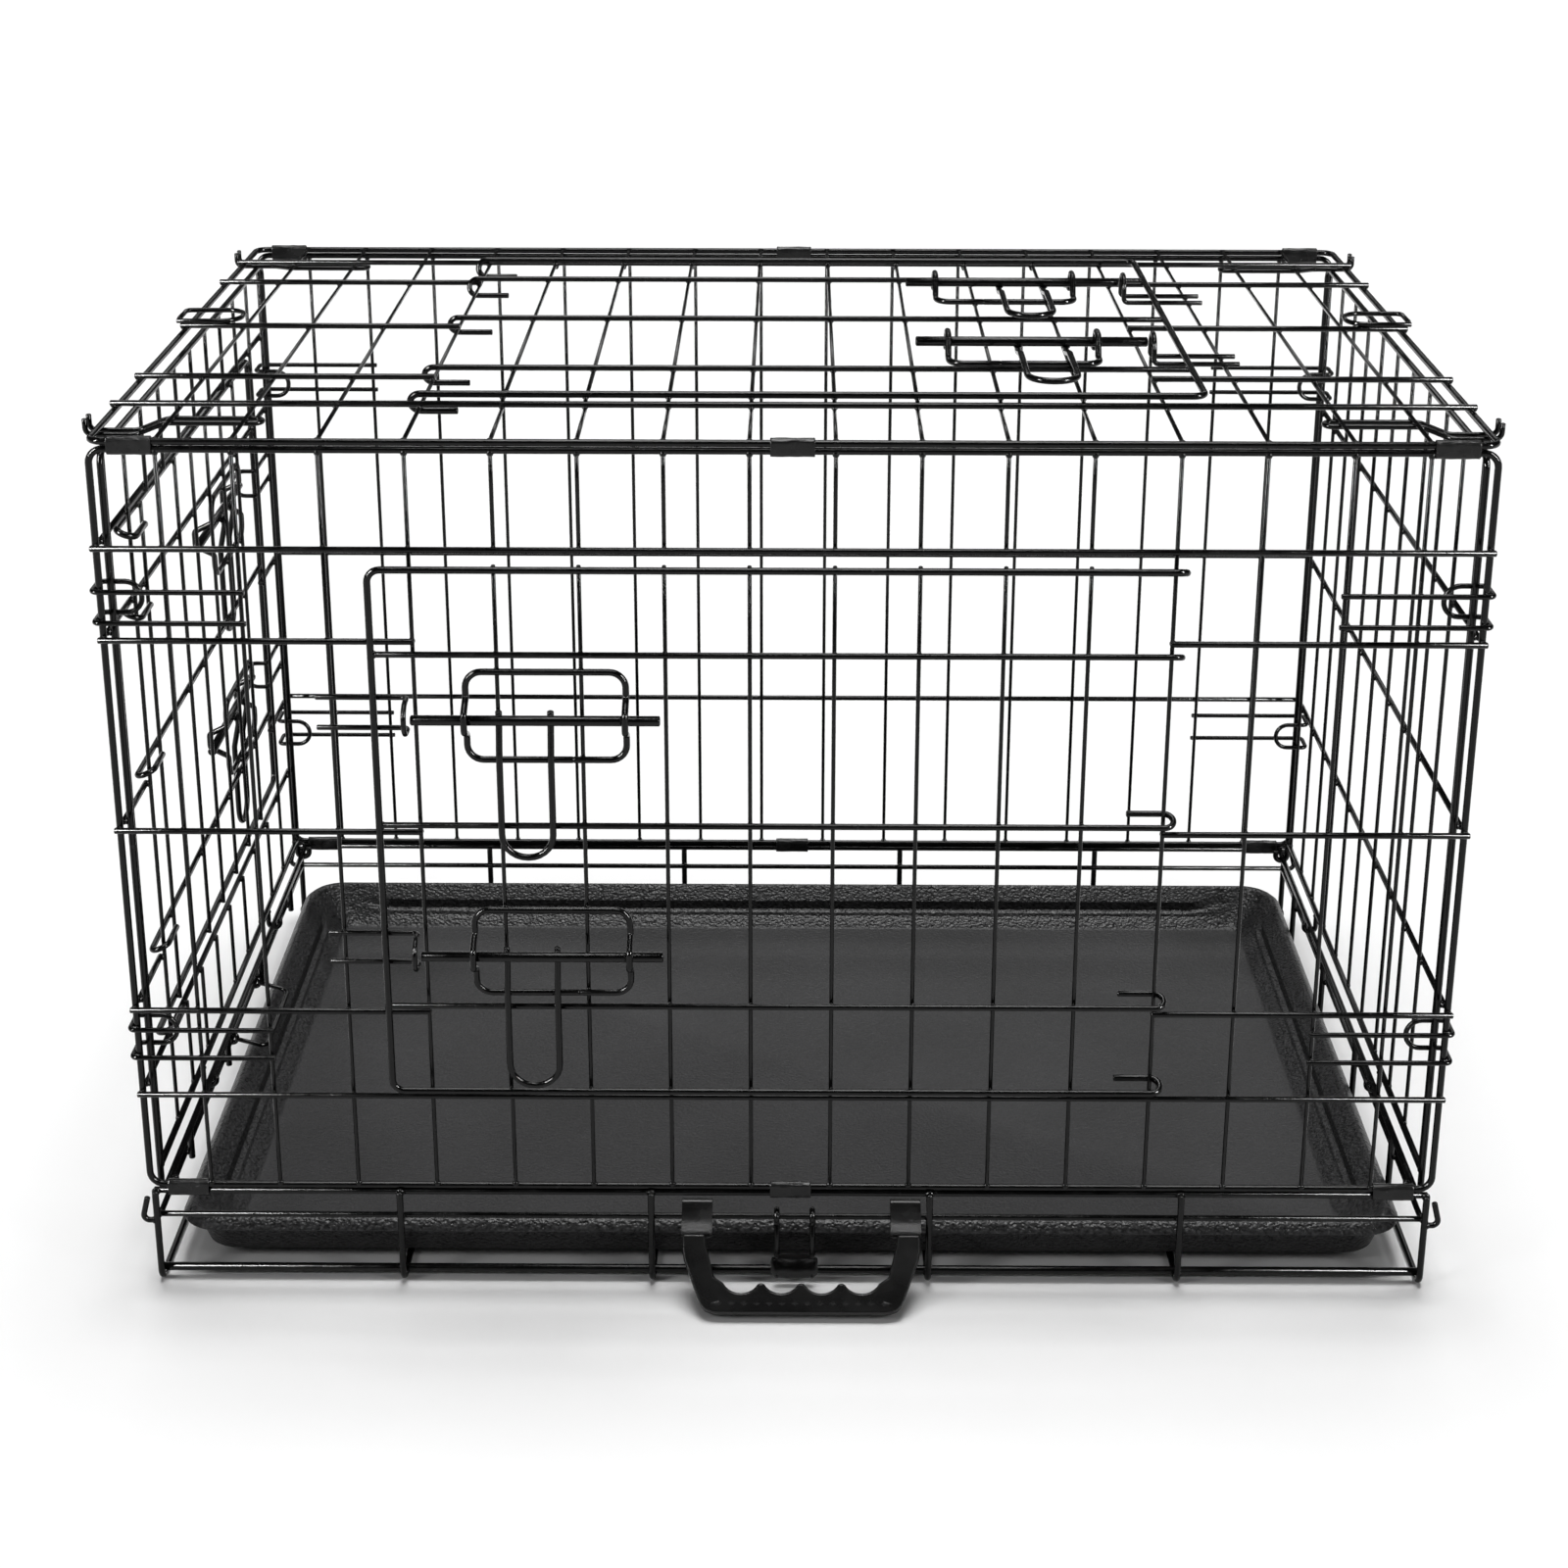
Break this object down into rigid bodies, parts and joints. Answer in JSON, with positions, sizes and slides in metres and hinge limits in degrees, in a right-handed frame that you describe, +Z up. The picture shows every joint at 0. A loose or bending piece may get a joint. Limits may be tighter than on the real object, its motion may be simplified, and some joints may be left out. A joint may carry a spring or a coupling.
{
  "type": "wire dog crate",
  "caption": "Folding wire dog crate with hooked doors on front, side and top, sliding bolts, a pull-out plastic tray and a carry handle.",
  "frame": {"origin": "on the floor, under the centre of the crate's footprint", "axes": "+X to the right along the long front, +Y to the back, +Z up; the front door faces -Y"},
  "size_m": [0.7812, 0.521, 0.5422],
  "materials": {
    "powder_coated_wire": "gloss",
    "crimped_sleeve": "satin",
    "tray_plastic": "pebbled",
    "handle_plastic": "satin",
    "clip_tab": "gloss"
  },
  "bodies": {
    "crate": {"back_panel_crosswires": "powder_coated_wire", "back_panel_frame": "powder_coated_wire", "back_panel_uprights": "powder_coated_wire", "base_floor_runs": "powder_coated_wire", "base_fold_hooks": "powder_coated_wire", "base_rails": "powder_coated_wire", "base_side_wires": "powder_coated_wire", "base_uprights": "powder_coated_wire", "corner_clips": "powder_coated_wire", "front_door_keepers": "powder_coated_wire", "front_panel_crosswires": "powder_coated_wire", "front_panel_frame": "powder_coated_wire", "front_panel_uprights": "powder_coated_wire", "hinge_sleeves": "crimped_sleeve", "top_corner_hooks": "powder_coated_wire", "top_door_keepers": "powder_coated_wire", "top_edge_clips": "powder_coated_wire", "top_panel_crosswires": "powder_coated_wire", "top_panel_frame": "powder_coated_wire", "top_panel_wires": "powder_coated_wire"},
    "left_panel": {"left_panel_crosswires": "powder_coated_wire", "left_panel_frame": "powder_coated_wire", "left_panel_hooks": "powder_coated_wire", "left_panel_uprights": "powder_coated_wire", "left_door_keepers": "powder_coated_wire"},
    "right_panel": {"right_panel_crosswires": "powder_coated_wire", "right_panel_frame": "powder_coated_wire", "right_panel_hooks": "powder_coated_wire", "right_panel_uprights": "powder_coated_wire"},
    "tray": {"tray": "tray_plastic"},
    "pan_stop": {"pan_stop": "powder_coated_wire"},
    "carry_handle": {"carry_handle_grip": "handle_plastic", "carry_handle_straps": "crimped_sleeve"},
    "suitcase_clip": {"suitcase_clip": "powder_coated_wire", "suitcase_clip_tab": "clip_tab"},
    "front_door": {"front_door_frame": "powder_coated_wire", "front_door_crosswires": "powder_coated_wire", "front_door_uprights": "powder_coated_wire", "front_door_latch_frames": "powder_coated_wire"},
    "front_lower_bolt": {"front_door_lower_bolt": "powder_coated_wire"},
    "front_lower_handle": {"front_door_lower_handle": "powder_coated_wire"},
    "front_upper_bolt": {"front_door_upper_bolt": "powder_coated_wire"},
    "front_upper_handle": {"front_door_upper_handle": "powder_coated_wire"},
    "left_door": {"left_door_frame": "powder_coated_wire", "left_door_crosswires": "powder_coated_wire", "left_door_uprights": "powder_coated_wire", "left_door_latch_frames": "powder_coated_wire"},
    "left_lower_bolt": {"left_door_lower_bolt": "powder_coated_wire"},
    "left_lower_handle": {"left_door_lower_handle": "powder_coated_wire"},
    "left_upper_bolt": {"left_door_upper_bolt": "powder_coated_wire"},
    "left_upper_handle": {"left_door_upper_handle": "powder_coated_wire"},
    "top_door": {"top_door_frame": "powder_coated_wire", "top_door_crosswires": "powder_coated_wire", "top_door_uprights": "powder_coated_wire", "top_door_latch_frames": "powder_coated_wire"},
    "top_lower_bolt": {"top_door_lower_bolt": "powder_coated_wire"},
    "top_lower_handle": {"top_door_lower_handle": "powder_coated_wire"},
    "top_upper_bolt": {"top_door_upper_bolt": "powder_coated_wire"},
    "top_upper_handle": {"top_door_upper_handle": "powder_coated_wire"}
  },
  "joints": [
    {"name": "left_panel_fold", "type": "hinge", "parent": "crate", "child": "left_panel", "pos_m": [-0.36915, 0, 0.06], "axis": [0, -1, 0], "range_deg": [-90, 0]},
    {"name": "right_panel_fold", "type": "hinge", "parent": "crate", "child": "right_panel", "pos_m": [0.36915, 0, 0.06], "axis": [0, 1, 0], "range_deg": [-82, 0]},
    {"name": "front_door_swing", "type": "hinge", "parent": "crate", "child": "front_door", "pos_m": [0.2079, -0.2368, 0], "axis": [0, 0, 1], "range_deg": [0, 165]},
    {"name": "left_door_swing", "type": "hinge", "parent": "left_panel", "child": "left_door", "pos_m": [-0.3743, -0.1744, 0], "axis": [0, 0, 1], "range_deg": [0, 165]},
    {"name": "top_door_swing", "type": "hinge", "parent": "crate", "child": "top_door", "pos_m": [-0.2079, 0, 0.5213], "axis": [0, -1, 0], "range_deg": [0, 165]},
    {"name": "front_lower_bolt_slide", "type": "slide", "parent": "front_door", "child": "front_lower_bolt", "axis": [1, 0, 0], "range_m": [-0.012, 0.022]},
    {"name": "front_lower_handle_lift", "type": "hinge", "parent": "front_lower_bolt", "child": "front_lower_handle", "pos_m": [-0.1479, -0.2505, 0.22196], "axis": [-1, 0, 0], "range_deg": [0, 110]},
    {"name": "front_upper_bolt_slide", "type": "slide", "parent": "front_door", "child": "front_upper_bolt", "axis": [1, 0, 0], "range_m": [-0.012, 0.022]},
    {"name": "front_upper_handle_lift", "type": "hinge", "parent": "front_upper_bolt", "child": "front_upper_handle", "pos_m": [-0.1479, -0.2505, 0.36615], "axis": [-1, 0, 0], "range_deg": [0, 110]},
    {"name": "left_lower_bolt_slide", "type": "slide", "parent": "left_door", "child": "left_lower_bolt", "axis": [0, -1, 0], "range_m": [-0.012, 0.022]},
    {"name": "left_lower_handle_lift", "type": "hinge", "parent": "left_lower_bolt", "child": "left_lower_handle", "pos_m": [-0.388, 0.1144, 0.22196], "axis": [0, 1, 0], "range_deg": [0, 110]},
    {"name": "left_upper_bolt_slide", "type": "slide", "parent": "left_door", "child": "left_upper_bolt", "axis": [0, -1, 0], "range_m": [-0.012, 0.022]},
    {"name": "left_upper_handle_lift", "type": "hinge", "parent": "left_upper_bolt", "child": "left_upper_handle", "pos_m": [-0.388, 0.1144, 0.36615], "axis": [0, 1, 0], "range_deg": [0, 110]},
    {"name": "top_lower_bolt_slide", "type": "slide", "parent": "top_door", "child": "top_lower_bolt", "axis": [-1, 0, 0], "range_m": [-0.012, 0.022]},
    {"name": "top_lower_handle_lift", "type": "hinge", "parent": "top_lower_bolt", "child": "top_lower_handle", "pos_m": [0.1479, -0.07268, 0.535], "axis": [-1, 0, 0], "range_deg": [0, 110]},
    {"name": "top_upper_bolt_slide", "type": "slide", "parent": "top_door", "child": "top_upper_bolt", "axis": [-1, 0, 0], "range_m": [-0.012, 0.022]},
    {"name": "top_upper_handle_lift", "type": "hinge", "parent": "top_upper_bolt", "child": "top_upper_handle", "pos_m": [0.1479, 0.08009, 0.535], "axis": [-1, 0, 0], "range_deg": [0, 110]},
    {"name": "tray_slide", "type": "slide", "parent": "crate", "child": "tray", "axis": [-1, 0, 0], "range_m": [0, 0.7]},
    {"name": "pan_stop_lift", "type": "hinge", "parent": "crate", "child": "pan_stop", "pos_m": [-0.3728, 0, 0.044], "axis": [0, -1, 0], "range_deg": [0, 65]},
    {"name": "carry_handle_swing", "type": "hinge", "parent": "crate", "child": "carry_handle", "pos_m": [0, -0.23625, 0.044], "axis": [-1, 0, 0], "range_deg": [0, 105]},
    {"name": "suitcase_clip_swing", "type": "hinge", "parent": "crate", "child": "suitcase_clip", "pos_m": [0, -0.23625, 0.044], "axis": [-1, 0, 0], "range_deg": [0, 100]}
  ]
}
